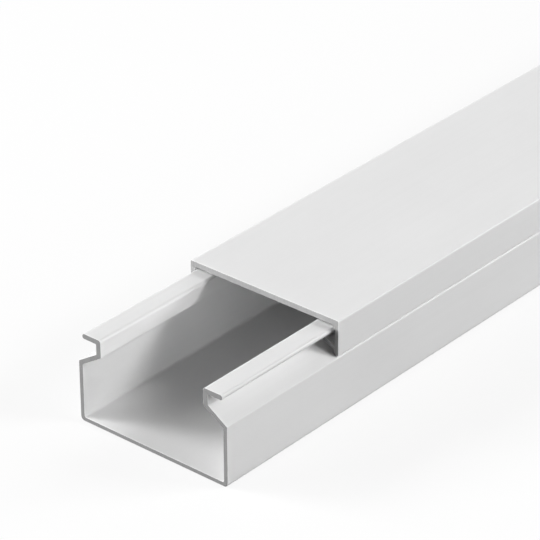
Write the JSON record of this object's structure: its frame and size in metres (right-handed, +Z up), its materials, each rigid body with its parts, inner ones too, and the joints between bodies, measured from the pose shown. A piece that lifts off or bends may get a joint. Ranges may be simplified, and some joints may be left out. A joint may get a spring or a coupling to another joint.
{
  "type": "cord cover raceway",
  "caption": "Straight cord channel with side walls, sloping shoulders and outturned lips, and a flat skirted cover that snaps over the lips and is slid part-way back.",
  "frame": {"origin": "middle of the underside of the base channel", "axes": "+Y along the length, from the open end towards the end that the cover overhangs; +X across the width; +Z up, away from the wall or floor that the base is fixed to"},
  "size_m": [0.05, 0.443, 0.0286],
  "materials": {
    "channel_pvc": "satin white rigid PVC",
    "cover_pvc": "satin white rigid PVC"
  },
  "bodies": {
    "base": {"base_channel": "channel_pvc"},
    "lid": {"cover": "cover_pvc"}
  },
  "joints": [
    {"name": "cover_slide", "type": "slide", "parent": "base", "child": "lid", "axis": [0, 1, 0], "range_m": [-0.043, 0.317]}
  ]
}
